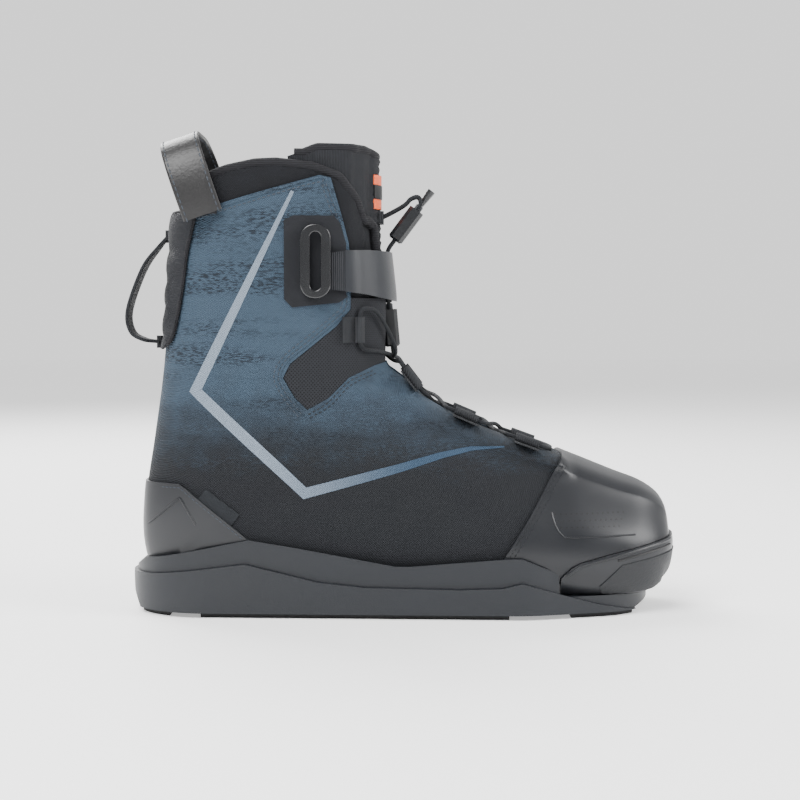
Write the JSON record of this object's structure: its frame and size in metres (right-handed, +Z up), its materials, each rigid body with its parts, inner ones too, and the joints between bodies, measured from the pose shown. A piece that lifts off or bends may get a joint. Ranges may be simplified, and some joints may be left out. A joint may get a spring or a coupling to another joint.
{
  "type": "wakeboard boot binding",
  "caption": "Closed-toe laced boot fixed on a moulded chassis that bolts to a board, with lace locks, a hook-and-loop ankle strap and pull loops.",
  "frame": {"origin": "On the mounting plane under the middle of the whole binding's length and width.", "axes": "X from heel (-) to toe (+), Y from the outer side (-) to the inner side (+) of a right foot, Z up from the board."},
  "size_m": [0.3536, 0.125, 0.3062],
  "materials": {
    "chassis_plastic": "moulded glass-filled nylon, fine matt grain",
    "pad_rubber": "matt rubber",
    "steel": "zinc plated steel",
    "foam": "moulded foam",
    "footbed_fabric": "brushed fabric over foam",
    "slate_fabric": "slate blue woven textile with a double stitched edge",
    "gusset_mesh": "black mesh",
    "pad_fabric": "black quilted fabric",
    "overlay": "satin dark grey moulded overlay",
    "rand_rubber": "satin rubber",
    "liner_fabric": "black knit over foam",
    "binding_fabric": "rolled black binding",
    "tongue_fabric": "black ribbed knit over foam",
    "patch_rubber": "orange-red moulded patch",
    "webbing": "black ribbed webbing",
    "lace_cord": "braided dark cord",
    "cord_plastic": "matt black plastic",
    "lock_plastic": "black moulded plastic",
    "button_plastic": "grey moulded plastic",
    "strap_fabric": "smooth satin faced strap",
    "gore_elastic": "ribbed elastic",
    "ring_plastic": "polished black plastic",
    "hook_loop": "hook and loop pile",
    "loop_leather": "dark leather with stitched edges",
    "label_fabric": "plain woven label"
  },
  "bodies": {
    "boot": {"chassis": "chassis_plastic", "heel_pad": "pad_rubber", "middle_pad": "pad_rubber", "toe_pad": "pad_rubber", "chassis_screws": "steel", "tee_nuts": "steel", "midsole": "foam", "footbed": "footbed_fabric", "quarter_outer": "slate_fabric", "quarter_inner": "slate_fabric", "ankle_gusset_outer": "gusset_mesh", "ankle_gusset_inner": "gusset_mesh", "heel_cup": "overlay", "rear_pad": "pad_fabric", "toe_cap": "overlay", "toe_rand": "rand_rubber", "liner": "liner_fabric", "collar_binding": "binding_fabric", "tongue": "tongue_fabric", "tongue_binding": "binding_fabric", "tongue_patch": "patch_rubber", "tongue_keeper_upper": "webbing", "tongue_keeper_lower": "webbing", "lower_lace": "lace_cord", "upper_lace": "lace_cord", "lower_cord_ends": "cord_plastic", "strap_loop_patch": "hook_loop", "strap_anchor": "strap_fabric", "side_tab": "label_fabric", "lace_guide_1_inner": "webbing", "lace_guide_1_outer": "webbing", "lace_guide_2_inner": "webbing", "lace_guide_2_outer": "webbing", "lace_guide_3_inner": "webbing", "lace_guide_3_outer": "webbing", "lace_guide_4_inner": "webbing", "lace_guide_4_outer": "webbing"},
    "ankle_strap": {"strap_band": "strap_fabric", "strap_gore": "gore_elastic", "strap_ring": "ring_plastic", "strap_hook_patch": "hook_loop"},
    "upper_lock": {"upper_lock_body": "lock_plastic", "upper_lock_spring": "steel"},
    "upper_button": {"upper_lock_button": "button_plastic", "upper_cord_end": "cord_plastic"},
    "lower_lock": {"lower_lock_body": "lock_plastic", "lower_lock_spring": "steel"},
    "lower_button": {"lower_lock_button": "button_plastic"},
    "pull_loop": {"pull_loop": "loop_leather"},
    "finger_loop": {"finger_loop": "webbing"}
  },
  "joints": [
    {"name": "strap_opening", "type": "hinge", "parent": "boot", "child": "ankle_strap", "pos_m": [-0.0585, 0.0519, 0.216], "axis": [0, 0, 1], "range_deg": [0, 75], "stiffness_Nm_per_rad": 0.5},
    {"name": "upper_lock_slide", "type": "slide", "parent": "boot", "child": "upper_lock", "axis": [-0.6, 0, -0.8], "range_m": [0, 0.003]},
    {"name": "upper_button_press", "type": "slide", "parent": "upper_lock", "child": "upper_button", "axis": [-0.6, 0, -0.8], "range_m": [0, 0.003], "stiffness_N_per_m": 300},
    {"name": "lower_lock_slide", "type": "slide", "parent": "boot", "child": "lower_lock", "axis": [0.0896, 0, -0.996], "range_m": [0, 0.003]},
    {"name": "lower_button_press", "type": "slide", "parent": "lower_lock", "child": "lower_button", "axis": [0.0896, 0, -0.996], "range_m": [0, 0.003], "stiffness_N_per_m": 300},
    {"name": "pull_loop_bend", "type": "hinge", "parent": "boot", "child": "pull_loop", "pos_m": [-0.1345, 0, 0.251], "axis": [0, -1, 0], "range_deg": [0, 25], "stiffness_Nm_per_rad": 0.6},
    {"name": "finger_loop_swing", "type": "hinge", "parent": "boot", "child": "finger_loop", "pos_m": [-0.156, 0, 0.172], "axis": [0.0879, 0, 0.9961], "range_deg": [-25, 25], "stiffness_Nm_per_rad": 0.2}
  ]
}
